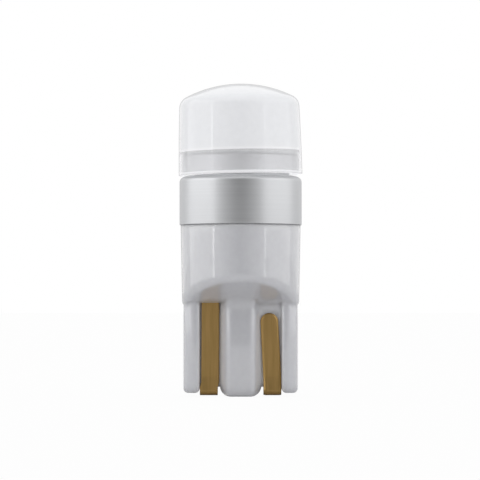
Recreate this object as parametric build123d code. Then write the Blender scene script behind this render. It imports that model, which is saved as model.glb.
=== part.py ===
from build123d import *
from math import atan2, cos, radians, sin, sqrt, tan
import os

# Wedge base LED bulb: a milky diffuser on an aluminium heat sink collar, over a
# moulded wedge base with two wrapped contact strips. Millimetres, +Z up the axis.
# The origin is the middle of the base's lowest face, and the front faces -Y.

# Driving dimensions of the wedge, the end that plugs in. Its width over the wings is
# the rib's foot, the two pockets and the two wings: 3.44 + 2 * 1.68 + 2 * 1.35 = 9.5.
WEDGE_LENGTH = 7.42          # from the lowest face to the body's lowest line
WEB_THICKNESS = 1.6          # the thin web that the contact strips wrap
WING_THICKNESS = 2.7
WING_WIDTH = 1.35
WING_ROUND = 1.1             # outer long edges
WING_INNER_ROUND = 0.2
WING_RISE = 0.3              # the wings end this far above the lowest face
WING_TIP_ROUND = 0.4
RIB_THICKNESS = 3.2
RIB_FOOT_WIDTH = 3.44
RIB_SLOPE_RUN = 0.72         # width of each of the rib's sloped sides
RIB_CREST_ROUND = 0.25
RIB_TIP_INSET = 0.18         # the tip's rounding runs this far in over the crest
POCKET_WIDTH = 1.68          # from the rib's foot to a wing
POCKET_RISE = 0.8            # web's end, above the lowest face

# Driving dimensions of the moulded body above the wedge
BODY_OVERHANG = 0.25         # body's top edge, outside the wings
BODY_HEIGHT = 6.8            # from its lowest line to the shoulder
BODY_DRAFT = 1.08            # degrees
UNDERSIDE_SLOPE = 26.0       # degrees, front and back
RIDGE_ROUND = 2.0
UNDERSIDE_ROUND = 0.5
RIB_BLEND = 1.0              # hollow blends where the wedge meets the underside
WEB_BLEND = 0.5
CAVITY_DRAFT = 0.4           # degrees
FLOOR_THICKNESS = 3.0        # from the body's lowest line to the cavity's floor
SPIGOT_WALL = 0.54
SPIGOT_CHAMFER = 0.25

# Driving dimensions of the aluminium collar
COLLAR_STEP = 0.09           # collar's side, outside the body's top edge
COLLAR_HEIGHT = 4.08
COLLAR_WALL = 0.64
COLLAR_CEILING = 1.0         # metal between the bore and the upper face
COLLAR_EDGE_WIDTH = 0.7
COLLAR_EDGE_HEIGHT = 0.5
COLLAR_LIP_CHAMFER = 0.08
NECK_HEIGHT = 1.75
NECK_CHAMFER = 0.1

# Driving dimensions of the diffuser
LENS_OVERHANG = 0.07         # diffuser's foot, outside the collar
LENS_WAIST_INSET = 0.06      # its side leans in, a little more above the waist
LENS_WAIST_HEIGHT = 3.2
LENS_SHOULDER_INSET = 0.17
LENS_HEIGHT = 7.6
LENS_CROWN_RADIUS = 9.8
LENS_SHOULDER_ROUND = 1.0
LENS_WALL = 1.0              # at the crown
LENS_CAVITY_ROUND = 0.6
SKIRT_WALL = 0.99
SKIRT_LEDGE = 0.42           # step from the skirt's bore in to the cavity
LENS_TILT = 1.07             # degrees, the diffuser is seated slightly askew

# Contact strips
STRIP_THICKNESS = 0.25
STRIP_RISE = 0.1             # the bend's underside, above the lowest face
STRIP_BEND_ROUND = 0.18
STRIP_FLARE_HEIGHT = 1.55
STRIP_FLARE = 0.08
LEG_JOG = 0.12               # the leg steps in towards the rib above its foot
LEG_JOG_START = 0.62         # above the bend's underside
LEG_JOG_HEIGHT = 0.45
LEG_LEAN = 0.3               # degrees
LEG_LAP = 1.96               # length of a leg beside the driver board
TAIL_STRAIGHT = 1.2          # above the bend's underside, before the tail leans
TAIL_LEAN = 3.0              # degrees
COINED_WIDTH = 0.15
COINED_DEPTH = 0.08

# Light engine on the neck
PAD_THICKNESS = 0.1
LED_BOARD_THICKNESS = 0.5
LED_BOARD_INSET = 0.1        # board's edge, inside the neck's edge
LED_LENGTH = 2.0
LED_WIDTH = 1.6
LED_HEIGHT = 0.55
LED_RIM = 0.2
LED_CUP_DEPTH = 0.4
LED_SPACING_X = 3.8
LED_SPACING_Y = 2.8

# Driver inside the body
PIN_RADIUS = 0.2
PIN_LAP = 1.5                # length of a pin beside the driver board
PIN_PROUD = 0.3
SOLDER_RADIUS = 0.45
SOLDER_HEIGHT = 0.28
LEG_SOLDER_HEIGHT = 0.4
IC_LENGTH = 4.2
IC_HEIGHT = 2.2
IC_DEPTH = 1.4
IC_BEVEL = 0.14
IC_TAB_DEPTH = 0.35
IC_TAB_LENGTH = 0.5
IC_TAB_WIDTH = 0.5
IC_TAB_PITCH = 1.4
CHIP_LENGTH = 1.6
CHIP_WIDTH = 0.85
RESISTOR_DEPTH = 0.5
CAPACITOR_DEPTH = 0.8
DIODE_LENGTH = 1.6
DIODE_WIDTH = 1.2
DIODE_DEPTH = 0.95

# Clearances
SEAT_CLEARANCE = 0.02        # between flat faces that bear on each other
SPIGOT_CLEARANCE = 0.06
SPIGOT_TOP_GAP = 0.2         # from the spigot's end to the bore's ceiling
SKIRT_CLEARANCE = 0.12       # lets the diffuser sit askew on the neck
LEDGE_GAP = 0.17             # from the LED board up to the skirt's ledge
BOARD_CLEARANCE = 0.1
BOARD_TOP_GAP = 0.48         # from the driver board up to the bore's ceiling
SLOT_CLEARANCE = 0.08
PIN_CLEARANCE = 0.15
POCKET_PLAY = 0.2            # the strips are this much narrower than the pockets
TAIL_GAP = 0.5               # from a tail's end up to the body's lowest line
PART_GAP = 0.2               # between a component and its neighbours
TRIM_MARGIN = 0.01           # a trimming outline reaches this far past the wall it trims
BLEND_SINK = 0.04            # a blend's end is sunk this far into the underside
BLEND_STEPS = 4

# Widths and radii worked out from the rib outwards
RIB_TOP_WIDTH = RIB_FOOT_WIDTH - 2 * RIB_SLOPE_RUN
RIB_TIP_ROUND = RIB_SLOPE_RUN + RIB_TIP_INSET
HALF_WEB = WEB_THICKNESS / 2
WING_INNER_X = RIB_FOOT_WIDTH / 2 + POCKET_WIDTH
HALF_WEDGE = WING_INNER_X + WING_WIDTH
STRIP_WIDTH = POCKET_WIDTH - POCKET_PLAY
STRIP_FOOT_X = WING_INNER_X - SEAT_CLEARANCE - STRIP_WIDTH / 2
STRIP_INNER_Y = HALF_WEB + SEAT_CLEARANCE
STRIP_OUTER_Y = STRIP_INNER_Y + STRIP_THICKNESS
BODY_TOP_RADIUS = HALF_WEDGE + BODY_OVERHANG
COLLAR_RADIUS = BODY_TOP_RADIUS + COLLAR_STEP
COLLAR_FLAT_RADIUS = COLLAR_RADIUS - COLLAR_EDGE_WIDTH
COLLAR_BORE_RADIUS = COLLAR_RADIUS - COLLAR_WALL
SPIGOT_RADIUS = COLLAR_BORE_RADIUS - SPIGOT_CLEARANCE
CAVITY_RADIUS = SPIGOT_RADIUS - SPIGOT_WALL
LENS_FOOT_RADIUS = COLLAR_RADIUS + LENS_OVERHANG
LENS_WAIST_RADIUS = LENS_FOOT_RADIUS - LENS_WAIST_INSET
LENS_SHOULDER_RADIUS = LENS_FOOT_RADIUS - LENS_SHOULDER_INSET
SKIRT_RADIUS = LENS_FOOT_RADIUS - SKIRT_WALL
LENS_CAVITY_RADIUS = SKIRT_RADIUS - SKIRT_LEDGE
NECK_RADIUS = SKIRT_RADIUS - SKIRT_CLEARANCE
LED_BOARD_RADIUS = NECK_RADIUS - LED_BOARD_INSET
PIN_Y = HALF_WEB + PIN_RADIUS + SEAT_CLEARANCE
PIN_HOLE_RADIUS = PIN_Y + PIN_RADIUS + PIN_CLEARANCE

# Heights worked out seat by seat
SHOULDER_Z = WEDGE_LENGTH + BODY_HEIGHT
COLLAR_Z = SHOULDER_Z + SEAT_CLEARANCE
COLLAR_TOP_Z = COLLAR_Z + COLLAR_HEIGHT
CEILING_Z = COLLAR_TOP_Z - COLLAR_CEILING
SPIGOT_TOP_Z = CEILING_Z - SPIGOT_TOP_GAP
LENS_Z = COLLAR_TOP_Z + COLLAR_FLAT_RADIUS * sin(radians(LENS_TILT)) + SEAT_CLEARANCE
NECK_TOP_Z = COLLAR_TOP_Z + NECK_HEIGHT
LED_BOARD_Z = NECK_TOP_Z + PAD_THICKNESS
LED_Z = LED_BOARD_Z + LED_BOARD_THICKNESS
LENS_LEDGE_HEIGHT = LED_Z + LEDGE_GAP - LENS_Z
FLOOR_Z = WEDGE_LENGTH + FLOOR_THICKNESS
DRIVER_Z = FLOOR_Z + SEAT_CLEARANCE
DRIVER_TOP_Z = CEILING_Z - BOARD_TOP_GAP
LEG_TOP_Z = DRIVER_Z + LEG_LAP
TAIL_TOP_Z = WEDGE_LENGTH - TAIL_GAP
LEG_LEAN_Z = STRIP_RISE + LEG_JOG_START + LEG_JOG_HEIGHT
LEG_DRIFT = LEG_JOG + (LEG_TOP_Z - LEG_LEAN_Z) * tan(radians(LEG_LEAN))

# The cavity's floor, and the driver board that stands on it
FLOOR_RADIUS = CAVITY_RADIUS - (SPIGOT_TOP_Z - FLOOR_Z) * tan(radians(CAVITY_DRAFT))
DRIVER_HALF_WIDTH = sqrt((FLOOR_RADIUS - BOARD_CLEARANCE) ** 2 - HALF_WEB**2)


def turned(outline):
    """Solid of revolution about Z of a closed outline in the XZ plane."""
    return revolve(Plane.XZ * make_face(outline), Axis.Z)


def along_y(sketch, depth):
    """Prism of a front view sketch, to both sides of the middle plane."""
    return extrude(Plane.XZ * sketch, depth, both=True)


def underside_z(y):
    """Height of the sloped underside at a distance from the middle plane."""
    ridge_drop = RIDGE_ROUND * (1 / cos(radians(UNDERSIDE_SLOPE)) - 1)
    return WEDGE_LENGTH - ridge_drop + y * tan(radians(UNDERSIDE_SLOPE))


def body_shell():
    """Drafted round body, cut below by the two slopes that form the arches."""
    foot_radius = BODY_TOP_RADIUS - SHOULDER_Z * tan(radians(BODY_DRAFT))
    barrel = turned(
        Polyline(
            (0, 0),
            (foot_radius, 0),
            (BODY_TOP_RADIUS, SHOULDER_Z),
            (0, SHOULDER_Z),
            close=True,
        )
    )
    reach = 2 * BODY_TOP_RADIUS
    roof = Polyline(
        (-reach, underside_z(reach)),
        (0, underside_z(0)),
        (reach, underside_z(reach)),
        (reach, 2 * SHOULDER_Z),
        (-reach, 2 * SHOULDER_Z),
        close=True,
    )
    side_view = make_face(roof)
    ridge = side_view.vertices().sort_by(Axis.Y)[0]
    side_view = fillet(ridge, RIDGE_ROUND)
    body = barrel & extrude(Plane.YZ * side_view, reach, both=True)
    arches = [e for e in body.edges() if e.bounding_box().max.Z < SHOULDER_Z - SEAT_CLEARANCE]
    arches = [e for e in arches if e.geom_type != GeomType.LINE]
    return fillet(arches, UNDERSIDE_ROUND)


def rounded(points, radii):
    """Closed face whose corners are rounded by the radii, one for each point."""
    return make_face(FilletPolyline(*points, radius=radii, close=True))


def limited(radius, room):
    """Radius of a rounding, kept within the wall that it is cut from."""
    return min(radius, 0.9 * room)


def wings_plan():
    """Section across the web and the two rounded wings."""
    plan = Rectangle(2 * WING_INNER_X + WING_WIDTH, WEB_THICKNESS)
    half_wing = WING_THICKNESS / 2
    inner_round = limited(WING_INNER_ROUND, half_wing - HALF_WEB)
    outer_round = limited(WING_ROUND, min(WING_WIDTH - inner_round, half_wing))
    for side in (-1, 1):
        plan += rounded(
            [
                (side * HALF_WEDGE, side * half_wing),
                (side * WING_INNER_X, side * half_wing),
                (side * WING_INNER_X, -side * half_wing),
                (side * HALF_WEDGE, -side * half_wing),
            ],
            [outer_round, inner_round, inner_round, outer_round],
        )
    return plan


def rounded_tab(width, bottom, top, rounding, middle=0.0):
    """Front view of an upright bar with its two lower corners rounded."""
    low_x = middle - width / 2
    high_x = middle + width / 2
    corners = [(low_x, bottom), (high_x, bottom), (high_x, top), (low_x, top)]
    radius = limited(rounding, width / 2)
    return rounded(corners, [radius, radius, 0, 0])


def rib_section(spread, crest_round):
    """Section of the rib, grown outwards by a spread at its crests and slopes."""
    half_foot = RIB_FOOT_WIDTH / 2
    half_crest = RIB_TOP_WIDTH / 2
    half_rib = RIB_THICKNESS / 2
    slope = atan2(half_rib - HALF_WEB, half_foot - half_crest)
    foot = half_foot + spread / sin(slope)
    crest = half_crest + spread * tan(slope / 2)
    crest_y = half_rib + spread
    points = [
        (foot, -HALF_WEB),
        (foot, HALF_WEB),
        (crest, crest_y),
        (-crest, crest_y),
        (-foot, HALF_WEB),
        (-foot, -HALF_WEB),
        (-crest, -crest_y),
        (crest, -crest_y),
    ]
    return rounded(points, [0, 0, crest_round, crest_round, 0, 0, crest_round, crest_round])


def rib(top):
    """Middle rib: a six sided bar, rounded at its tip and along its two crests."""
    crest_round = limited(RIB_CREST_ROUND, (RIB_THICKNESS - WEB_THICKNESS) / 2)
    front = rounded_tab(RIB_FOOT_WIDTH, 0, top, RIB_TIP_ROUND)
    bar = extrude(rib_section(0, 0), top) & along_y(front, RIB_THICKNESS)
    crests = bar.faces().sort_by(Axis.Y)[0].edges() + bar.faces().sort_by(Axis.Y)[-1].edges()
    crests = [edge for edge in crests if edge.center().Z < top - SEAT_CLEARANCE]
    return fillet(crests, crest_round)


def blend_start(wall_y, radius):
    """Height where a hollow blend leaves an upright wall, to end on the underside."""
    slope = radians(UNDERSIDE_SLOPE)
    return underside_z(wall_y + radius) - radius / cos(slope) + BLEND_SINK


def rib_root():
    """The rib's root, which flares to meet the sloped underside in a hollow blend."""
    start = blend_start(RIB_THICKNESS / 2, RIB_BLEND)
    sweep = radians(90 - UNDERSIDE_SLOPE)
    crest_round = limited(RIB_CREST_ROUND, (RIB_THICKNESS - WEB_THICKNESS) / 2)
    sections = []
    for step in range(BLEND_STEPS + 1):
        turn = sweep * step / BLEND_STEPS
        section = rib_section(RIB_BLEND * (1 - cos(turn)), crest_round)
        sections.append(Pos(0, 0, start + RIB_BLEND * sin(turn)) * section)
    return loft(sections)


def web_root():
    """Hollow blend along both faces of the web, where it meets the underside."""
    start = blend_start(HALF_WEB, WEB_BLEND)
    sweep = radians(90 - UNDERSIDE_SLOPE)
    end_y = HALF_WEB + WEB_BLEND * (1 - cos(sweep))
    end_z = start + WEB_BLEND * sin(sweep)
    section = make_face(
        Line((-HALF_WEB, start), (HALF_WEB, start))
        + RadiusArc((HALF_WEB, start), (end_y, end_z), WEB_BLEND)
        + Line((end_y, end_z), (-end_y, end_z))
        + RadiusArc((-end_y, end_z), (-HALF_WEB, start), WEB_BLEND)
    )
    return extrude(Plane.YZ * section, WING_INNER_X + WING_WIDTH / 2, both=True)


def wedge(top):
    """The wedge up to a height: web and wings trimmed by their front view, and the rib."""
    web_height = top - POCKET_RISE
    front = Pos(0, POCKET_RISE + web_height / 2) * Rectangle(2 * WING_INNER_X + WING_WIDTH, web_height)
    for side in (-1, 1):
        middle = side * (HALF_WEDGE - WING_WIDTH / 2)
        width = WING_WIDTH + 2 * TRIM_MARGIN
        front += rounded_tab(width, WING_RISE, top, WING_TIP_ROUND, middle)
    return (extrude(wings_plan(), top) & along_y(front, WING_THICKNESS)) + rib(top)


def leg_slot(side):
    """Slot that a contact strip's leg passes up through, into the cavity."""
    bottom = blend_start(HALF_WEB, WEB_BLEND) - TRIM_MARGIN
    height = FLOOR_Z + SLOT_CLEARANCE - bottom
    middle_z = bottom + height / 2
    lean = tan(radians(LEG_LEAN))
    middle_x = side * (STRIP_FOOT_X - LEG_JOG - (middle_z - LEG_LEAN_Z) * lean)
    width = STRIP_WIDTH + 2 * SLOT_CLEARANCE + height * lean
    depth = STRIP_THICKNESS + SEAT_CLEARANCE + SLOT_CLEARANCE
    middle_y = side * (HALF_WEB + depth / 2)
    return Pos(middle_x, middle_y, middle_z) * Box(width, depth, height)


def wedge_body():
    """The moulded base: wedge, hollow round body and the spigot for the collar."""
    solid = body_shell() + wedge(FLOOR_Z) + web_root() + rib_root()
    spigot = turned(
        Polyline(
            (0, FLOOR_Z),
            (SPIGOT_RADIUS, FLOOR_Z),
            (SPIGOT_RADIUS, SPIGOT_TOP_Z - SPIGOT_CHAMFER),
            (SPIGOT_RADIUS - SPIGOT_CHAMFER, SPIGOT_TOP_Z),
            (0, SPIGOT_TOP_Z),
            close=True,
        )
    )
    cavity = turned(
        Polyline(
            (0, FLOOR_Z),
            (FLOOR_RADIUS, FLOOR_Z),
            (CAVITY_RADIUS, SPIGOT_TOP_Z),
            (0, SPIGOT_TOP_Z),
            close=True,
        )
    )
    solid = solid + spigot - cavity
    for side in (-1, 1):
        solid -= leg_slot(side)
    return solid


def strip_side_view(half, bottom, top, rounding):
    """Side view of the space a strip's face encloses, flared towards its foot."""
    flare_z = STRIP_RISE + STRIP_FLARE_HEIGHT
    points = [
        (-half, top),
        (-half, flare_z),
        (-half - STRIP_FLARE, bottom),
        (half + STRIP_FLARE, bottom),
        (half, flare_z),
        (half, top),
    ]
    return rounded(points, [0, 0, rounding, rounding, 0, 0])


def strip_profile():
    """Side view of a strip: leg, flared foot, bend under the web, and tail."""
    outer_round = STRIP_BEND_ROUND + STRIP_THICKNESS
    outside = strip_side_view(STRIP_OUTER_Y, STRIP_RISE, LEG_TOP_Z, outer_round)
    inner_z = STRIP_RISE + STRIP_THICKNESS
    inside = strip_side_view(STRIP_INNER_Y, inner_z, 2 * LEG_TOP_Z, STRIP_BEND_ROUND)
    return outside - inside


def leg_blank():
    """Front view of the right hand strip's leg: foot, step towards the rib, lean."""
    low_x = STRIP_FOOT_X - STRIP_WIDTH / 2
    high_x = STRIP_FOOT_X + STRIP_WIDTH / 2
    jog_z = STRIP_RISE + LEG_JOG_START
    return Polygon(
        (low_x, 0),
        (high_x, 0),
        (high_x, jog_z),
        (high_x - LEG_JOG, LEG_LEAN_Z),
        (high_x - LEG_DRIFT, LEG_TOP_Z),
        (low_x - LEG_DRIFT, LEG_TOP_Z),
        (low_x - LEG_JOG, LEG_LEAN_Z),
        (low_x, jog_z),
        align=None,
    )


def tail_blank():
    """Front view of the right hand strip's tail: foot, lean, round end."""
    low_x = STRIP_FOOT_X - STRIP_WIDTH / 2
    high_x = STRIP_FOOT_X + STRIP_WIDTH / 2
    start = STRIP_RISE + TAIL_STRAIGHT
    lean = radians(TAIL_LEAN)
    end_round = STRIP_WIDTH / 2 * cos(lean)
    end_z = TAIL_TOP_Z - end_round
    end_x = STRIP_FOOT_X - (end_z - start) * tan(lean)
    across = (end_round * cos(lean), end_round * sin(lean))
    low_end = (end_x - across[0], end_z - across[1])
    high_end = (end_x + across[0], end_z + across[1])
    tip = (end_x - across[1], end_z + across[0])
    sides = Polyline(low_end, (low_x, start), (low_x, 0), (high_x, 0), (high_x, start), high_end)
    return make_face(sides + ThreePointArc(high_end, tip, low_end))


def contact_strip(side):
    """A flat brass strip: its leg goes up one face of the web, its tail up the other."""
    channel = extrude(Plane.YZ * strip_profile(), HALF_WEDGE)
    reach = 2 * STRIP_OUTER_Y
    tail = extrude(Plane.XZ * tail_blank(), reach)
    leg = extrude(Plane.XZ * leg_blank(), -reach)
    strip = coined(channel & tail) + coined(channel & leg)
    return strip if side > 0 else Rot(0, 0, 180) * strip


def coined(half_strip):
    """Bevel on the outer edges of the tail, or on the leg's edge beside the rib."""
    start = STRIP_RISE + STRIP_FLARE_HEIGHT
    bevelled = []
    for edge in half_strip.edges():
        box = edge.bounding_box()
        if box.min.Z < start - SEAT_CLEARANCE or box.max.Z - box.min.Z < STRIP_WIDTH / 4:
            continue
        on_tail = box.max.Y < SEAT_CLEARANCE - STRIP_OUTER_Y
        beside_rib = box.min.X < STRIP_FOOT_X - STRIP_WIDTH / 2
        on_leg = box.min.Y > STRIP_OUTER_Y - SEAT_CLEARANCE and beside_rib
        if on_tail or on_leg:
            bevelled.append(edge)
    return chamfer(bevelled, COINED_DEPTH, COINED_WIDTH)


def heat_sink_collar():
    """Turned aluminium: an outer band, the neck for the light engine, a bore below."""
    edge_z = COLLAR_TOP_Z - COLLAR_EDGE_HEIGHT
    band = Polyline(
        (COLLAR_FLAT_RADIUS, COLLAR_TOP_Z),
        (NECK_RADIUS, COLLAR_TOP_Z),
        (NECK_RADIUS, NECK_TOP_Z - NECK_CHAMFER),
        (NECK_RADIUS - NECK_CHAMFER, NECK_TOP_Z),
        (PIN_HOLE_RADIUS, NECK_TOP_Z),
        (PIN_HOLE_RADIUS, CEILING_Z),
        (COLLAR_BORE_RADIUS, CEILING_Z),
        (COLLAR_BORE_RADIUS, COLLAR_Z + COLLAR_LIP_CHAMFER),
        (COLLAR_BORE_RADIUS + COLLAR_LIP_CHAMFER, COLLAR_Z),
        (COLLAR_RADIUS, COLLAR_Z),
        (COLLAR_RADIUS, edge_z),
    )
    crest = EllipticalCenterArc(
        (COLLAR_FLAT_RADIUS, edge_z), COLLAR_EDGE_WIDTH, COLLAR_EDGE_HEIGHT, arc_size=90
    )
    return turned(band + crest)


def diffuser_dome():
    """The milky cap: leaning sides under a shallow crown, open below, seated askew."""
    crown_rise = LENS_CROWN_RADIUS - sqrt(LENS_CROWN_RADIUS**2 - LENS_SHOULDER_RADIUS**2)
    shoulder_z = LENS_HEIGHT - crown_rise
    sides = Polyline(
        (0, LENS_HEIGHT),
        (0, 0),
        (LENS_FOOT_RADIUS, 0),
        (LENS_WAIST_RADIUS, LENS_WAIST_HEIGHT),
        (LENS_SHOULDER_RADIUS, shoulder_z),
    )
    crown = RadiusArc((LENS_SHOULDER_RADIUS, shoulder_z), (0, LENS_HEIGHT), -LENS_CROWN_RADIUS)
    outline = sides + crown
    section = make_face(outline)
    corner = section.vertices().sort_by_distance((LENS_SHOULDER_RADIUS, shoulder_z))[0]
    section = fillet(corner, LENS_SHOULDER_ROUND)
    inner_crown = LENS_CROWN_RADIUS - LENS_WALL
    inner_rise = inner_crown - sqrt(inner_crown**2 - LENS_CAVITY_RADIUS**2)
    ceiling = LENS_HEIGHT - LENS_WALL
    hollow = (
        Polyline(
            (0, ceiling),
            (0, 0),
            (SKIRT_RADIUS, 0),
            (SKIRT_RADIUS, LENS_LEDGE_HEIGHT),
            (LENS_CAVITY_RADIUS, LENS_LEDGE_HEIGHT),
            (LENS_CAVITY_RADIUS, ceiling - inner_rise),
        )
        + RadiusArc((LENS_CAVITY_RADIUS, ceiling - inner_rise), (0, ceiling), -inner_crown)
    )
    inside = make_face(hollow)
    inner_corner = inside.vertices().sort_by_distance((LENS_CAVITY_RADIUS, ceiling - inner_rise))[0]
    inside = fillet(inner_corner, LENS_CAVITY_ROUND)
    cap = revolve(Plane.XZ * (section - inside), Axis.Z)
    return Pos(0, 0, LENS_Z) * Rot(0, -LENS_TILT, 0) * cap


def thermal_pad():
    """Thin heat conducting layer between the neck and the LED board."""
    ring = Circle(LED_BOARD_RADIUS) - Circle(PIN_HOLE_RADIUS)
    return Pos(0, 0, NECK_TOP_Z) * extrude(ring, PAD_THICKNESS)


def led_board():
    """Round metal core board, with a hole for each pin."""
    disc = Circle(LED_BOARD_RADIUS)
    for side in (-1, 1):
        disc -= Pos(0, side * PIN_Y) * Circle(PIN_RADIUS + SLOT_CLEARANCE)
    return Pos(0, 0, LED_BOARD_Z) * extrude(disc, LED_BOARD_THICKNESS)


def led_place(index):
    """Place of one of the four LEDs on its board."""
    x = LED_SPACING_X / 2 * (1 if index % 2 else -1)
    y = LED_SPACING_Y / 2 * (1 if index // 2 else -1)
    return Pos(x, y, LED_Z)


def led_housing():
    """White cup of one LED, standing at the origin."""
    block = Pos(0, 0, LED_HEIGHT / 2) * Box(LED_LENGTH, LED_WIDTH, LED_HEIGHT)
    cup_length = LED_LENGTH - 2 * LED_RIM
    cup_width = LED_WIDTH - 2 * LED_RIM
    cup = Pos(0, 0, LED_HEIGHT - LED_CUP_DEPTH / 2) * Box(cup_length, cup_width, LED_CUP_DEPTH)
    return block - cup


def led_phosphor():
    """Yellow fill in one LED's cup."""
    length = LED_LENGTH - 2 * LED_RIM - 2 * SEAT_CLEARANCE
    width = LED_WIDTH - 2 * LED_RIM - 2 * SEAT_CLEARANCE
    depth = LED_CUP_DEPTH - 2 * SEAT_CLEARANCE
    return Pos(0, 0, LED_HEIGHT - SEAT_CLEARANCE - depth / 2) * Box(length, width, depth)


def driver_board():
    """Upright circuit board that stands on the cavity's floor."""
    height = DRIVER_TOP_Z - DRIVER_Z
    block = Box(2 * DRIVER_HALF_WIDTH, WEB_THICKNESS, height)
    return Pos(0, 0, DRIVER_Z + height / 2) * block


def link_pin(side):
    """Pin from the driver board's face up through the neck and the LED board."""
    bottom = DRIVER_TOP_Z - PIN_LAP
    length = LED_Z + PIN_PROUD - bottom
    return Pos(0, side * PIN_Y, bottom + length / 2) * Cylinder(PIN_RADIUS, length)


def pin_solder(side):
    """Solder cone round a pin, on the LED board."""
    bore = PIN_RADIUS + SEAT_CLEARANCE
    cone = turned(
        Polyline(
            (bore, 0),
            (SOLDER_RADIUS, 0),
            (bore + SEAT_CLEARANCE, SOLDER_HEIGHT),
            (bore, SOLDER_HEIGHT),
            close=True,
        )
    )
    return Pos(0, side * PIN_Y, LED_Z) * cone


def on_board(side, x, z, piece):
    """Set a piece modelled on the XY plane against a face of the driver board."""
    face = Plane(origin=(x, side * HALF_WEB, z), x_dir=(1, 0, 0), z_dir=(0, side, 0))
    return face * piece


def leg_solder(side):
    """Solder wedge that joins the end of a leg to the driver board."""
    fillet_view = Polygon(
        (0, 0),
        (STRIP_THICKNESS, 0),
        (0, LEG_SOLDER_HEIGHT),
        align=None,
    )
    wedge_piece = extrude(Plane.YZ * fillet_view, STRIP_WIDTH / 2, both=True)
    if side < 0:
        wedge_piece = Rot(0, 0, 180) * wedge_piece
    x = side * (STRIP_FOOT_X - LEG_DRIFT)
    return Pos(x, side * HALF_WEB, LEG_TOP_Z) * wedge_piece


def driver_ic():
    """Current regulator: a moulded block with three tabs along its lower edge."""
    block = Pos(0, 0, IC_DEPTH / 2) * Box(IC_LENGTH, IC_HEIGHT, IC_DEPTH)
    block = chamfer(block.faces().sort_by(Axis.Z)[-1].edges(), IC_BEVEL)
    for place in (-1, 0, 1):
        y = IC_HEIGHT / 2 + IC_TAB_LENGTH / 2
        tab = Box(IC_TAB_WIDTH, IC_TAB_LENGTH, IC_TAB_DEPTH)
        block += Pos(place * IC_TAB_PITCH, -y, IC_TAB_DEPTH / 2) * tab
    return block


def chip(depth, length=CHIP_LENGTH, width=CHIP_WIDTH):
    """Small chip component, flat on its board."""
    return Pos(0, 0, depth / 2) * Box(length, width, depth)


def driver_parts():
    """The driver's components by name, each against its face of the board."""
    found = {}
    resistor_x = DRIVER_HALF_WIDTH - PART_GAP - CHIP_WIDTH / 2
    resistor_z = DRIVER_TOP_Z - PART_GAP - CHIP_LENGTH / 2
    for index, side in enumerate((-1, 1)):
        resistor = chip(RESISTOR_DEPTH, CHIP_WIDTH, CHIP_LENGTH)
        found[f"sense_resistor_{index + 1}"] = on_board(-1, side * resistor_x, resistor_z, resistor)
    leg_edge = STRIP_FOOT_X - STRIP_WIDTH / 2 - LEG_DRIFT
    ic_x = PART_GAP + IC_LENGTH / 2 - leg_edge
    ic_z = resistor_z - CHIP_LENGTH / 2 - PART_GAP - IC_HEIGHT / 2
    found["driver_ic"] = on_board(-1, ic_x, ic_z, driver_ic())
    diode_x = PIN_RADIUS + PART_GAP + DIODE_WIDTH / 2
    upper_z = DRIVER_TOP_Z - PART_GAP - DIODE_LENGTH / 2
    lower_z = upper_z - DIODE_LENGTH - PART_GAP
    for index in range(4):
        x = diode_x * (1 if index % 2 else -1)
        z = lower_z if index // 2 else upper_z
        diode = chip(DIODE_DEPTH, DIODE_WIDTH, DIODE_LENGTH)
        found[f"bridge_diode_{index + 1}"] = on_board(1, x, z, diode)
    chip_z = lower_z - DIODE_LENGTH / 2 - PART_GAP - CHIP_WIDTH / 2
    capacitor_x = leg_edge - PART_GAP - CHIP_LENGTH / 2
    suppressor_x = capacitor_x - CHIP_LENGTH - PART_GAP
    found["filter_capacitor"] = on_board(1, capacitor_x, chip_z, chip(CAPACITOR_DEPTH))
    found["surge_suppressor"] = on_board(1, suppressor_x, chip_z, chip(CAPACITOR_DEPTH))
    return found


def pieces():
    """Every piece of the bulb by the name of its node."""
    found = {
        "diffuser_dome": diffuser_dome(),
        "heat_sink_collar": heat_sink_collar(),
        "wedge_body": wedge_body(),
        "contact_strip_left": contact_strip(-1),
        "contact_strip_right": contact_strip(1),
        "thermal_pad": thermal_pad(),
        "led_board": led_board(),
        "driver_board": driver_board(),
    }
    for index in range(4):
        found[f"led_housing_{index + 1}"] = led_place(index) * led_housing()
        found[f"led_phosphor_{index + 1}"] = led_place(index) * led_phosphor()
    for name, side in (("front", -1), ("back", 1)):
        found[f"link_pin_{name}"] = link_pin(side)
        found[f"pin_solder_{name}"] = pin_solder(side)
    for name, side in (("left", -1), ("right", 1)):
        found[f"leg_solder_{name}"] = leg_solder(side)
    found.update(driver_parts())
    return found


os.makedirs("parts", exist_ok=True)
for name, shape in pieces().items():
    export_step(shape, f"parts/{name}.step")
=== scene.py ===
"""Looks of the wedge base LED bulb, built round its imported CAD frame.

Each sub-assembly of the bulb is a class: it holds its sizes in millimetres, builds the
meshes that Blender does better than the frame, and dresses every piece in its finish.
Z is up along the bulb's axis and the front faces -Y, as in the frame.
"""

import logging
import math
from dataclasses import dataclass, field, replace
from enum import Enum, IntEnum
from typing import ClassVar

import bpy
from mathutils import Matrix, Vector

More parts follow.
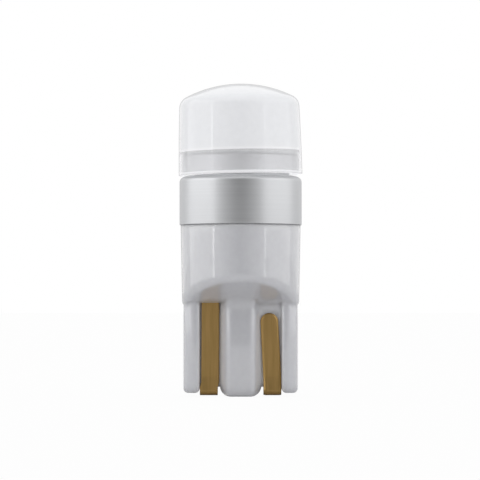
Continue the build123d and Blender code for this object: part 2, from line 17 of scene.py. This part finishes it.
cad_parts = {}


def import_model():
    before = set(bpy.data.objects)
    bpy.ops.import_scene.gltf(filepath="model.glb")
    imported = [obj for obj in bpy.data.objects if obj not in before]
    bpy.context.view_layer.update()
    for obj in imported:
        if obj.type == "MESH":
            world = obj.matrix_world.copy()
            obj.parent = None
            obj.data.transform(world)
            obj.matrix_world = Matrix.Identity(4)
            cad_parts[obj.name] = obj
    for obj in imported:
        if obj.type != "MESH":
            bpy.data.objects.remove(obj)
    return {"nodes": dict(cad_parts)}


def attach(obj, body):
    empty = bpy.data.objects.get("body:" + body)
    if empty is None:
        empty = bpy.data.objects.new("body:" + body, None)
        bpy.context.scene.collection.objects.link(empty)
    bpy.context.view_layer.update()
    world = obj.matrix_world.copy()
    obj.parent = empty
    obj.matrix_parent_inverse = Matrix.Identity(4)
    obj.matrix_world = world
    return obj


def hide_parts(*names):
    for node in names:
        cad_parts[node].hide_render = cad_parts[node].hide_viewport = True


LOG = logging.getLogger("wedge_base_led_bulb")
MM = 0.001
BODY = "root"
MIDDLE_HEIGHT = 0.013

WHITE = (1.0, 1.0, 1.0, 1.0)
NOISE_LOW = 0.3
NOISE_HIGH = 0.7
NOISE_OCTAVES = 4.0
NOISE_ROUGHNESS = 0.55
EDGE_SAMPLES = 8
COAT_ROUGHNESS = 0.03
SCATTER_TINT = (0.9, 0.9, 1.0)

AXIS_LIMIT = 1e-6
CREASE_ANGLE = 35.0
FOOT_STEPS = 4
SHOULDER_STEPS = 14
CROWN_STEPS = 18
CREST_STEPS = 16

Point = tuple[float, float]
Triple = tuple[float, float, float]
Colour = Triple


class Pattern(Enum):
    """The grain that a finish carries in its surface."""

    MOULDED = "moulded"
    TURNED = "turned"
    ROLLED = "rolled"
    WOVEN = "woven"


class Zone(IntEnum):
    """The zones of the diffuser, by the number that its faces give their finish."""

    SKIN = 0
    SKIRT = 1
    # BAND takes a painted highlight.
    BAND = 2
    INSIDE = 3
    # EDGE, the foot's underside, takes a painted glow.
    EDGE = 4


def linear(code: Colour) -> tuple[float, float, float, float]:
    """Turn a colour picked by eye, 0 to 255 a channel, into the shader's linear values.

    Args:
        code: Red, green and blue, as a colour picker shows them.

    Returns:
        The linear colour with an alpha of one.
    """
    parts = [c / 255 for c in code]
    red, green, blue = (
        c / 12.92 if c <= 0.04045 else ((c + 0.055) / 1.055) ** 2.4 for c in parts
    )
    return (red, green, blue, 1.0)


@dataclass
class Wiring:
    """A material's node tree while it is being wired."""

    material: bpy.types.Material
    shader: bpy.types.ShaderNode = field(init=False)

    def __post_init__(self) -> None:
        """Find the shader that a new material starts with."""
        self.material.use_nodes = True
        nodes = self.material.node_tree.nodes
        self.shader = next(n for n in nodes if n.type == "BSDF_PRINCIPLED")

    def add(self, kind: str, **settings: object) -> bpy.types.Node:
        """Add a node and set its properties and its unlinked sockets.

        Args:
            kind: The node's Blender type, such as ShaderNodeBump.
            **settings: Properties, or sockets by name with _ for a space.

        Returns:
            The new node.
        """
        node = self.material.node_tree.nodes.new(kind)
        for key, value in settings.items():
            if hasattr(node, key):
                setattr(node, key, value)
            else:
                node.inputs[key.replace("_", " ")].default_value = value
        return node

    def join(self, start: bpy.types.NodeSocket, end: bpy.types.NodeSocket) -> None:
        """Link two sockets."""
        self.material.node_tree.links.new(start, end)

    def noise(self, scale: float, stretch: Triple) -> bpy.types.NodeSocket:
        """Add noise in object space.

        Args:
            scale: Cells in a millimetre.
            stretch: Factor on each axis; less than one draws the grain out along it.

        Returns:
            The noise's value socket.
        """
        place = self.add("ShaderNodeTexCoord")
        mapping = self.add("ShaderNodeMapping", Scale=tuple(s / MM for s in stretch))
        noise = self.add(
            "ShaderNodeTexNoise", Scale=scale, Detail=NOISE_OCTAVES, Roughness=NOISE_ROUGHNESS
        )
        self.join(place.outputs["Object"], mapping.inputs["Vector"])
        self.join(mapping.outputs["Vector"], noise.inputs["Vector"])
        return noise.outputs["Fac"]

    def spread(self, source: bpy.types.NodeSocket, low: float, high: float) -> bpy.types.NodeSocket:
        """Map a value's middle range onto another range.

        Args:
            source: A noise's value, which runs from about NOISE_LOW to NOISE_HIGH.
            low: The value at NOISE_LOW.
            high: The value at NOISE_HIGH.

        Returns:
            The mapped value's socket.
        """
        ranged = self.add("ShaderNodeMapRange")
        limits = (NOISE_LOW, NOISE_HIGH, low, high)
        for key, value in zip(("From Min", "From Max", "To Min", "To Max"), limits):
            ranged.inputs[key].default_value = value
        self.join(source, ranged.inputs["Value"])
        return ranged.outputs["Result"]

    def tones(self, source: bpy.types.NodeSocket, dark: Colour, light: Colour) -> None:
        """Let a value choose between two tones of the base colour."""
        ramp = self.add("ShaderNodeValToRGB")
        ramp.color_ramp.elements[0].position = NOISE_LOW
        ramp.color_ramp.elements[0].color = linear(dark)
        ramp.color_ramp.elements[1].position = NOISE_HIGH
        ramp.color_ramp.elements[1].color = linear(light)
        self.join(source, ramp.inputs["Fac"])
        self.join(ramp.outputs["Color"], self.shader.inputs["Base Color"])

    def relief(self, source: bpy.types.NodeSocket, depth: float, soft_edge: float) -> None:
        """Let a value raise the surface, and shade its edges as softly as a moulding's.

        Args:
            source: A noise's value.
            depth: The most that it raises the surface, in millimetres.
            soft_edge: The radius that the edges are shaded with, in millimetres, or 0 where
                they are crisp. The coat over them has half of it.
        """
        bump = self.add("ShaderNodeBump", Strength=1.0, Distance=depth * MM)
        if soft_edge:
            below = self.add("ShaderNodeBevel", samples=EDGE_SAMPLES, Radius=soft_edge * MM)
            above = self.add("ShaderNodeBevel", samples=EDGE_SAMPLES, Radius=soft_edge / 2 * MM)
            self.join(below.outputs["Normal"], bump.inputs["Normal"])
            self.join(above.outputs["Normal"], self.shader.inputs["Coat Normal"])
        self.join(source, bump.inputs["Height"])
        self.join(bump.outputs["Normal"], self.shader.inputs["Normal"])


@dataclass(frozen=True)
class Finish:
    """A finish of the real bulb: its colour, its gloss and the grain in its surface.

    Colours are 0 to 255 a channel, the grain is in cells a millimetre, and depth and
    soft_edge are in millimetres.
    """

    title: str
    dark: Colour
    light: Colour
    roughness: float
    pattern: Pattern = Pattern.MOULDED
    metallic: float = 0.0
    ior: float = 1.5
    grain: float = 2.0
    depth: float = 0.002
    uneven: float = 0.05
    coat: float = 0.0
    coat_ior: float = 1.5
    transmission: float = 0.0
    subsurface: float = 0.0
    alpha: float = 1.0
    # glow is emission strength; where the lens finishes set it, it is painted light.
    glow: float = 0.0
    soft_edge: float = 0.0

    made: ClassVar[dict[str, bpy.types.Material]] = {}

    def stretch(self) -> Triple:
        """How the grain is drawn out along each axis."""
        return {
            Pattern.MOULDED: (1.0, 1.0, 1.0),
            Pattern.TURNED: (0.04, 0.04, 4.0),
            Pattern.ROLLED: (3.0, 3.0, 0.15),
            Pattern.WOVEN: (1.0, 1.0, 1.0),
        }[self.pattern]

    def material(self) -> bpy.types.Material:
        """Wire the finish's material once, and hand out the same one after that.

        Returns:
            The material.
        """
        if self.title in Finish.made:
            return Finish.made[self.title]
        material = bpy.data.materials.new(self.title)
        wiring = Wiring(material)
        sockets = wiring.shader.inputs
        sockets["Metallic"].default_value = self.metallic
        sockets["IOR"].default_value = self.ior
        sockets["Coat Weight"].default_value = self.coat
        sockets["Coat IOR"].default_value = self.coat_ior
        sockets["Coat Roughness"].default_value = COAT_ROUGHNESS
        sockets["Transmission Weight"].default_value = self.transmission
        sockets["Subsurface Weight"].default_value = self.subsurface
        sockets["Subsurface Radius"].default_value = SCATTER_TINT
        sockets["Subsurface Scale"].default_value = MM
        sockets["Alpha"].default_value = self.alpha
        # A glow here is painted light, not a lamp.
        sockets["Emission Color"].default_value = WHITE
        sockets["Emission Strength"].default_value = self.glow
        grain = wiring.noise(self.grain, self.stretch())
        wiring.tones(grain, self.dark, self.light)
        gloss = wiring.spread(grain, self.roughness - self.uneven, self.roughness + self.uneven)
        wiring.join(gloss, sockets["Roughness"])
        wiring.relief(grain, self.depth, self.soft_edge)
        Finish.made[self.title] = material
        return material


MILKY_PLASTIC = Finish(
    "milky_plastic",
    (194, 194, 199),
    (198, 199, 203),
    0.35,
    coat=1.0,
    coat_ior=2.0,
    subsurface=0.6,
    depth=0.0006,
    uneven=0.03,
    soft_edge=1.1,
)
LENS_SKIN = Finish(
    "lens_skin",
    (244, 245, 248),
    (247, 248, 251),
    0.10,
    ior=1.2,
    coat=1.0,
    coat_ior=1.5,
    transmission=0.06,
    depth=0.0003,
    uneven=0.02,
)
# The skirt lets more light through than the skin; its faint glow is painted light standing in for light
# carried through the plastic.
LENS_SKIRT = replace(
    LENS_SKIN,
    title="lens_skirt",
    dark=(249, 249, 252),
    light=(251, 251, 254),
    coat_ior=1.6,
    transmission=0.6,
    glow=0.03,
)
# Painted highlight: the rim strip and the strip above the skin line are made whiter and given a glow,
# standing in for the light lines seen there.
LENS_PAINTED_HIGHLIGHT_BAND = replace(LENS_SKIRT, title="lens_painted_highlight_band", roughness=0.2, transmission=0.1, glow=0.045)
LENS_INSIDE = Finish("lens_inside", (244, 245, 248), (246, 247, 249), 0.3, alpha=0.06)
# Painted light: the lens foot's underside glows strongly, standing in for light carried through the
# plastic, so that the gap under the lens and the collar's crest mirroring it look bright.
LENS_EDGE_PAINTED_GLOW = Finish("lens_edge_painted_glow", (250, 250, 253), (252, 252, 255), 0.3, alpha=0.5, glow=0.9)
LENS_FINISHES = {
    Zone.SKIN: LENS_SKIN,
    Zone.SKIRT: LENS_SKIRT,
    Zone.BAND: LENS_PAINTED_HIGHLIGHT_BAND,
    Zone.INSIDE: LENS_INSIDE,
    Zone.EDGE: LENS_EDGE_PAINTED_GLOW,
}
TURNED_ALUMINIUM = Finish(
    "turned_aluminium", (190, 191, 193), (196, 197, 199), 0.36, Pattern.TURNED, metallic=1.0, depth=0.0003
)
STAMPED_BRASS = Finish(
    "stamped_brass", (165, 135, 83), (180, 147, 94), 0.38, Pattern.ROLLED, metallic=1.0, depth=0.003
)
WHITE_MASK = Finish("white_solder_mask", (236, 237, 236), (243, 244, 243), 0.35)
GREEN_LAMINATE = Finish("green_laminate", (38, 92, 58), (48, 104, 66), 0.4, Pattern.WOVEN, grain=6.0)
LED_HOUSING = Finish("led_housing_plastic", (232, 231, 224), (240, 239, 233), 0.4)
PHOSPHOR = Finish("phosphor_gel", (226, 190, 58), (238, 206, 76), 0.25, subsurface=0.3)
THERMAL_PASTE = Finish("thermal_paste", (176, 180, 184), (196, 198, 201), 0.7, grain=4.0, depth=0.01)
CHIP_PLASTIC = Finish("chip_plastic", (30, 31, 33), (40, 41, 43), 0.55, grain=9.0)
CHIP_CERAMIC = Finish("chip_ceramic", (150, 124, 96), (166, 139, 109), 0.45, grain=6.0)
TINNED_PIN = Finish("tinned_pin", (186, 184, 178), (202, 200, 194), 0.28, Pattern.ROLLED, metallic=1.0)
SOLDER = Finish("solder", (178, 179, 181), (200, 201, 203), 0.22, metallic=1.0, grain=3.0, depth=0.006)


@dataclass
class Frame:
    """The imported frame: hands out its finishes and takes in the pieces that replace nodes."""

    nodes: dict[str, bpy.types.Object]

    def dress(self, finish: Finish, *names: str) -> None:
        """Give pieces of the frame their finish.

        Args:
            finish: The finish that they get.
            *names: The names of their nodes.
        """
        for name in names:
            for slot in self.nodes[name].material_slots:
                slot.material = finish.material()
        LOG.info("dressed %s in %s", ", ".join(names), finish.title)

    def fit(self, piece: bpy.types.Object, finishes: list[Finish], slot: str, *names: str) -> None:
        """Set a new piece on the bulb, in its finishes, in place of nodes of the frame.

        Args:
            piece: The new piece, already in place.
            finishes: Its finishes, in the order that its faces number them.
            slot: The record's material slot that they answer to. Not used.
            *names: The nodes that it stands for, if any.
        """
        for finish in finishes:
            piece.data.materials.append(finish.material())
        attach(piece, BODY)
        if names:
            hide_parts(*names)
        LOG.info("built %s, %d faces", piece.name, len(piece.data.polygons))


def arc(centre: Point, radius: float, start: float, end: float, steps: int) -> list[Point]:
    """Points along an arc in a lathe outline.

    Args:
        centre: The arc's centre, as radius and height.
        radius: The arc's radius.
        start: First angle in degrees, from the outward direction.
        end: Last angle in degrees.
        steps: Number of spans.

    Returns:
        The points, both ends included.
    """
    found = []
    for step in range(steps + 1):
        angle = math.radians(start + (end - start) * step / steps)
        found.append((centre[0] + radius * math.cos(angle), centre[1] + radius * math.sin(angle)))
    return found


def lathe(name: str, outline: list[Point], place: Matrix, facets: int = 192) -> bpy.types.Object:
    """Turn a closed outline into a mesh about Z.

    Args:
        name: The new piece's name.
        outline: Radius and height of each point in millimetres, in order. Points on the
            axis become one vertex.
        place: Where the turned piece stands, in metres.
        facets: Spans round the axis.

    Returns:
        The piece, smooth but for its sharp edges.
    """
    verts: list[Vector] = []
    rings: list[list[int]] = []
    for radius, height in outline:
        count = 1 if radius < AXIS_LIMIT else facets
        first = len(verts)
        for index in range(count):
            angle = 2 * math.pi * index / facets
            verts.append(
                Vector((radius * math.cos(angle), radius * math.sin(angle), height)) * MM
            )
        rings.append([first + index % count for index in range(facets)])
    faces = []
    for low, high in zip(rings, rings[1:] + rings[:1]):
        for index in range(facets):
            after = (index + 1) % facets
            corners = [low[index], low[after], high[after], high[index]]
            unique = list(dict.fromkeys(corners))
            if len(unique) > 2:
                faces.append(unique)
    mesh = bpy.data.meshes.new(name)
    mesh.from_pydata(verts, [], faces)
    mesh.validate()
    mesh.transform(place)
    mesh.polygons.foreach_set("use_smooth", [True] * len(mesh.polygons))
    mesh.set_sharp_from_angle(angle=math.radians(CREASE_ANGLE))
    mesh.update()
    piece = bpy.data.objects.new(name, mesh)
    bpy.context.collection.objects.link(piece)
    return piece


@dataclass
class Diffuser:
    """The milky cap, a thick walled shell with a shallow crown, seated slightly askew."""

    seat: float = 18.422
    tilt: float = 1.07
    foot_radius: float = 5.16
    waist: Point = (5.10, 3.2)
    shoulder_radius: float = 4.99
    height: float = 7.6
    crown_radius: float = 9.8
    shoulder_round: float = 1.0
    foot_round: float = 0.06
    wall: float = 1.0
    skirt_radius: float = 4.17
    ledge_height: float = 2.418
    cavity_radius: float = 3.75
    cavity_round: float = 0.6
    # rim is the height of the bottom strip and band the width of the strip above skin_line; both strips
    # carry a painted highlight.
    rim: float = 0.2
    skin_line: float = 1.92
    band: float = 0.2

    def upper_lean(self) -> float:
        """How far the side leans in for each millimetre of height, above its waist."""
        rise = self.crown_radius - math.sqrt(self.crown_radius**2 - self.shoulder_radius**2)
        return (self.waist[0] - self.shoulder_radius) / (self.height - rise - self.waist[1])

    @staticmethod
    def crowned(side: Point, lean: float, top: float, crown: float, rounding: float) -> list[Point]:
        """Points round a shoulder and over a crown to the axis.

        Args:
            side: A point on the side, below the shoulder.
            lean: How far the side leans in for each millimetre of height.
            top: Height of the crown's apex.
            crown: Radius of the crown.
            rounding: Radius of the shoulder.

        Returns:
            The points from the end of the side up to the apex.
        """
        middle = top - crown
        run = Vector((-lean, 1)).normalized()
        inward = Vector((-run.y, run.x))
        offset = Vector(side) + inward * rounding - Vector((0, middle))
        along = offset.dot(run)
        reach = (crown - rounding) ** 2 - (offset.length_squared - along**2)
        spoke = offset + run * (math.sqrt(reach) - along)
        first = math.degrees(math.atan2(-inward.y, -inward.x))
        last = math.degrees(math.atan2(spoke.y, spoke.x))
        turn = arc((spoke.x, spoke.y + middle), rounding, first, last, SHOULDER_STEPS)
        return turn + arc((0, middle), crown, last, 90, CROWN_STEPS)[1:-1] + [(0, top)]

    def outside(self) -> list[Point]:
        """Outline of the outer face, from the foot's outer corner up to the apex."""
        centre = (self.foot_radius - self.foot_round, self.foot_round)
        foot = arc(centre, self.foot_round, -90, 0, FOOT_STEPS)
        lower_lean = (self.foot_radius - self.waist[0]) / self.waist[1]
        heights = (self.rim, self.skin_line, self.skin_line + self.band)
        side = [(self.foot_radius - height * lower_lean, height) for height in heights]
        crown = self.crowned(
            self.waist, self.upper_lean(), self.height, self.crown_radius, self.shoulder_round
        )
        return [*foot, *side, self.waist, *crown]

    def inside(self) -> list[Point]:
        """Outline of the inner face, from the ceiling down to the foot's inner corner."""
        ceiling = self.crowned(
            (self.cavity_radius, self.ledge_height),
            0.0,
            self.height - self.wall,
            self.crown_radius - self.wall,
            self.cavity_round,
        )
        return [
            *reversed(ceiling),
            (self.cavity_radius, self.ledge_height),
            (self.skirt_radius, self.ledge_height),
            (self.skirt_radius, 0.0),
        ]

    def zone_of(self, start: Point, end: Point) -> Zone:
        """Zone of the diffuser between two points of its outline."""
        radius, height = (start[0] + end[0]) / 2, (start[1] + end[1]) / 2
        reach = math.hypot(radius, height - self.height + self.crown_radius)
        if radius <= self.skirt_radius and reach <= self.crown_radius - self.wall:
            return Zone.INSIDE
        if radius <= self.foot_radius - self.foot_round and height < self.foot_round:
            return Zone.EDGE
        # The rim and the strip above the skin line get the painted highlight band.
        if height <= self.rim or 0 <= height - self.skin_line <= self.band:
            return Zone.BAND
        return Zone.SKIRT if height < self.skin_line else Zone.SKIN

    def build(self, frame: Frame) -> None:
        """Turn the shell and set it in place of the frame's."""
        place = Matrix.Translation((0, 0, self.seat * MM)) @ Matrix.Rotation(
            math.radians(-self.tilt), 4, "Y"
        )
        outline = self.outside() + self.inside()
        shell = lathe("diffuser_shell", outline, place)
        spans = list(zip(outline, outline[1:] + outline[:1]))
        facets = len(shell.data.polygons) // (len(spans) - 1)
        zones = [self.zone_of(*span) for span in spans if span[0][0] > 0 or span[1][0] > 0]
        for polygon in shell.data.polygons:
            polygon.material_index = zones[polygon.index // facets]
        frame.fit(shell, [LENS_FINISHES[zone] for zone in Zone], "diffuser", "diffuser_dome")


@dataclass
class HeatSink:
    """The turned collar with the neck that carries the light engine."""

    foot: float = 14.24
    radius: float = 5.09
    height: float = 4.08
    edge_width: float = 0.7
    edge_height: float = 0.5
    bore_radius: float = 4.45
    bore_depth: float = 3.08
    lip: float = 0.08
    edge_break: float = 0.03
    neck_radius: float = 4.05
    neck_height: float = 1.75
    neck_chamfer: float = 0.1
    hole_radius: float = 1.37

    def outline(self) -> list[Point]:
        """Closed outline of the metal, from the bore's mouth outwards."""
        flat = self.radius - self.edge_width
        top = self.height
        crest = [
            (flat + self.edge_width * x, top - self.edge_height + self.edge_height * y)
            for x, y in arc((0, 0), 1.0, 0, 90, CREST_STEPS)
        ]
        neck_top = top + self.neck_height
        return [
            (self.bore_radius, self.lip),
            (self.bore_radius + self.lip, 0.0),
            (self.radius - self.edge_break, 0.0),
            (self.radius, self.edge_break),
            *crest,
            (self.neck_radius, top),
            (self.neck_radius, neck_top - self.neck_chamfer),
            (self.neck_radius - self.neck_chamfer, neck_top),
            (self.hole_radius, neck_top),
            (self.hole_radius, self.bore_depth),
            (self.bore_radius, self.bore_depth),
        ]

    def build(self, frame: Frame) -> None:
        """Turn the collar and set it in place of the frame's."""
        place = Matrix.Translation((0, 0, self.foot * MM))
        collar = lathe("collar_turning", self.outline(), place)
        frame.fit(collar, [TURNED_ALUMINIUM], "collar", "heat_sink_collar")


@dataclass
class WedgeBase:
    """The moulded base and the two contact strips that wrap its web."""

    strips: tuple[str, ...] = ("contact_strip_left", "contact_strip_right")

    def build(self, frame: Frame) -> None:
        """Dress the base and its contacts."""
        frame.dress(MILKY_PLASTIC, "wedge_body")
        frame.dress(STAMPED_BRASS, *self.strips)


@dataclass
class LightEngine:
    """The board on the neck with its four LEDs."""

    leds: int = 4

    def build(self, frame: Frame) -> None:
        """Dress the board, the pad below it and the LEDs."""
        frame.dress(THERMAL_PASTE, "thermal_pad")
        frame.dress(WHITE_MASK, "led_board")
        numbers = range(1, self.leds + 1)
        frame.dress(LED_HOUSING, *(f"led_housing_{number}" for number in numbers))
        frame.dress(PHOSPHOR, *(f"led_phosphor_{number}" for number in numbers))


@dataclass
class Driver:
    """The circuit board inside the body, its components and its links."""

    diodes: int = 4
    resistors: int = 2

    def build(self, frame: Frame) -> None:
        """Dress the board and everything on it."""
        frame.dress(GREEN_LAMINATE, "driver_board")
        diodes = [f"bridge_diode_{number}" for number in range(1, self.diodes + 1)]
        frame.dress(CHIP_PLASTIC, "driver_ic", "surge_suppressor", *diodes)
        resistors = [f"sense_resistor_{number}" for number in range(1, self.resistors + 1)]
        frame.dress(CHIP_CERAMIC, "filter_capacitor", *resistors)
        frame.dress(TINNED_PIN, "link_pin_front", "link_pin_back")
        frame.dress(SOLDER, "pin_solder_front", "pin_solder_back")
        frame.dress(SOLDER, "leg_solder_left", "leg_solder_right")


@dataclass
class Panel:
    """A soft light: an upright panel that faces the bulb.

    Its sides and its lower and upper edge are angles in degrees as seen from the bulb.
    """

    title: str
    start: float
    end: float
    low: float
    high: float
    distance: float
    radiance: float

    def build(self) -> None:
        """Hang the panel so that it fills its angles as seen from the bulb."""
        width = 2 * self.distance * math.tan(math.radians(self.end - self.start) / 2)
        bottom = self.distance * math.tan(math.radians(self.low))
        top = self.distance * math.tan(math.radians(self.high))
        data = bpy.data.lights.new(self.title, "AREA")
        data.shape = "RECTANGLE"
        data.size, data.size_y = width, top - bottom
        data.energy = self.radiance * math.pi * width * (top - bottom)
        lamp = bpy.data.objects.new(self.title, data)
        azimuth = math.radians((self.start + self.end) / 2)
        lamp.location = (
            self.distance * math.sin(azimuth),
            -self.distance * math.cos(azimuth),
            (top + bottom) / 2 + MIDDLE_HEIGHT,
        )
        towards = Vector((-math.sin(azimuth), math.cos(azimuth), 0))
        lamp.rotation_mode = "QUATERNION"
        lamp.rotation_quaternion = towards.to_track_quat("-Z", "Y")
        lamp.visible_diffuse = False
        bpy.context.collection.objects.link(lamp)


def sheet(name: str, corners: list[Triple], material: bpy.types.Material) -> bpy.types.Object:
    """Put one flat sheet into the studio.

    Args:
        name: The sheet's name.
        corners: Its four corners in order, in metres.
        material: Its material.

    Returns:
        The sheet.
    """
    mesh = bpy.data.meshes.new(name)
    mesh.from_pydata(corners, [], [(0, 1, 2, 3)])
    mesh.materials.append(material)
    found = bpy.data.objects.new(name, mesh)
    bpy.context.collection.objects.link(found)
    return found


@dataclass
class Studio:
    """The pale floor, the soft lights and the camera of the photograph.

    Lengths are in metres, the lens and its sensor in millimetres, and angles in degrees.
    """

    camera_distance: float = 0.240
    camera_height: float = 0.0075
    camera_side: float = -0.00005
    lens: float = 216.0
    sensor: float = 36.0
    clip: tuple[float, float] = (0.01, 10.0)
    surround: float = 1.0
    floor_half: float = 3.0
    floor_tone: float = 0.7
    floor_roughness: float = 0.9
    floor_share: float = 0.95
    flag_distance: float = 0.30
    flag_height: float = 0.22
    flag_angles: tuple[float, float] = (-52.0, 47.0)
    flag_dark: float = 0.18
    flag_light: float = 1.1
    backing_distance: float = 0.25
    backing_size: tuple[float, float] = (0.09, 0.16)
    backing_tone: float = 0.65
    panels: list[Panel] = field(
        default_factory=lambda: [
            Panel("left_panel", -116.0, -52.0, -20.0, 40.0, 0.6, 0.7),
            Panel("left_panel_edge", -55.0, -51.5, -20.0, 40.0, 0.59, 1.6),
            Panel("right_panel", 46.5, 111.0, -20.0, 40.0, 0.6, 0.55),
            Panel("right_panel_edge", 46.0, 49.0, -20.0, 40.0, 0.59, 1.25),
        ]
    )

    def flag(self) -> None:
        """Stand a grey flag behind the camera, darkest in its middle, for the front to mirror."""
        left, right = (
            self.flag_distance * math.tan(math.radians(angle)) for angle in self.flag_angles
        )
        depth, top = -self.flag_distance, self.flag_height
        corners = [(left, depth, 0), (right, depth, 0), (right, depth, top), (left, depth, top)]
        material = bpy.data.materials.new("graduated_flag")
        material.use_nodes = True
        nodes, join = material.node_tree.nodes, material.node_tree.links.new
        place = nodes.new("ShaderNodeTexCoord")
        split = nodes.new("ShaderNodeSeparateXYZ")
        away = nodes.new("ShaderNodeMath")
        away.operation = "ABSOLUTE"
        ramp = nodes.new("ShaderNodeMapRange")
        limits = (0.0, min(-left, right), self.flag_dark, self.flag_light)
        for key, value in zip(("From Min", "From Max", "To Min", "To Max"), limits):
            ramp.inputs[key].default_value = value
        glow = nodes.new("ShaderNodeEmission")
        join(place.outputs["Object"], split.inputs[0])
        join(split.outputs["X"], away.inputs[0])
        join(away.outputs[0], ramp.inputs["Value"])
        join(ramp.outputs[0], glow.inputs["Strength"])
        join(glow.outputs[0], nodes["Material Output"].inputs["Surface"])
        flag = sheet("studio_flag", corners, material)
        flag.visible_camera = False
        flag.visible_diffuse = False

    def backing(self) -> None:
        """Stand a grey card behind the bulb, for its outer edges alone to mirror."""
        half, top = self.backing_size
        depth = self.backing_distance
        corners = [(-half, depth, 0), (half, depth, 0), (half, depth, top), (-half, depth, top)]
        material = bpy.data.materials.new("grey_card")
        material.use_nodes = True
        nodes, join = material.node_tree.nodes, material.node_tree.links.new
        glow = nodes.new("ShaderNodeEmission")
        glow.inputs["Strength"].default_value = self.backing_tone
        join(glow.outputs[0], nodes["Material Output"].inputs["Surface"])
        card = sheet("studio_backing", corners, material)
        for ray in ("camera", "diffuse", "transmission", "shadow"):
            setattr(card, f"visible_{ray}", False)

    def floor(self) -> None:
        """Lay the pale floor under the bulb, nearly white to the camera but for its shadow."""
        half = self.floor_half
        corners = [(-half, -half, 0), (half, -half, 0), (half, half, 0), (-half, half, 0)]
        material = bpy.data.materials.new("pale_floor")
        material.use_nodes = True
        nodes, links = material.node_tree.nodes, material.node_tree.links
        shader = next(n for n in nodes if n.type == "BSDF_PRINCIPLED")
        tone = self.floor_tone
        shader.inputs["Base Color"].default_value = (tone, tone, tone, 1.0)
        shader.inputs["Roughness"].default_value = self.floor_roughness
        white = nodes.new("ShaderNodeEmission")
        white.inputs["Strength"].default_value = 1.0
        path = nodes.new("ShaderNodeLightPath")
        share = nodes.new("ShaderNodeMath")
        share.operation = "MULTIPLY"
        share.inputs[1].default_value = self.floor_share
        mix = nodes.new("ShaderNodeMixShader")
        output = next(n for n in nodes if n.type == "OUTPUT_MATERIAL")
        links.new(path.outputs["Is Camera Ray"], share.inputs[0])
        links.new(share.outputs[0], mix.inputs[0])
        links.new(shader.outputs[0], mix.inputs[1])
        links.new(white.outputs[0], mix.inputs[2])
        links.new(mix.outputs[0], output.inputs["Surface"])
        floor = sheet("studio_floor", corners, material)

    def surroundings(self) -> None:
        """Light the room evenly in white, which is the background too."""
        world = bpy.data.worlds.new("studio")
        bpy.context.scene.world = world
        world.use_nodes = True
        room = world.node_tree.nodes["Background"]
        room.inputs["Color"].default_value = WHITE
        room.inputs["Strength"].default_value = self.surround

    def camera(self) -> None:
        """Set the camera level with the wedge, looking slightly up, as the photograph does."""
        data = bpy.data.cameras.new("camera")
        data.lens = self.lens
        data.sensor_width = self.sensor
        data.clip_start, data.clip_end = self.clip
        camera = bpy.data.objects.new("camera", data)
        camera.location = (self.camera_side, -self.camera_distance, self.camera_height)
        towards = Vector((0, self.camera_distance, MIDDLE_HEIGHT - self.camera_height))
        camera.rotation_mode = "QUATERNION"
        camera.rotation_quaternion = towards.to_track_quat("-Z", "Y")
        bpy.context.collection.objects.link(camera)
        bpy.context.scene.camera = camera

    def build(self) -> None:
        """Set up the floor, the flag, the backing, the lights and the camera."""
        self.floor()
        self.flag()
        self.backing()
        self.surroundings()
        for panel in self.panels:
            panel.build()
        self.camera()
        bpy.context.scene.view_settings.view_transform = "Standard"
        LOG.info("studio ready with %d panels", len(self.panels))


def main() -> None:
    """Load the frame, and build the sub-assemblies in order."""
    logging.basicConfig(level=logging.INFO, format="%(name)s: %(message)s")
    frame = Frame(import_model()["nodes"])
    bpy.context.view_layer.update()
    assemblies: list[WedgeBase | HeatSink | LightEngine | Driver | Diffuser] = [
        WedgeBase(),
        HeatSink(),
        LightEngine(),
        Driver(),
        Diffuser(),
    ]
    for assembly in assemblies:
        assembly.build(frame)
    Studio().build()


if __name__ == "__main__":
    main()
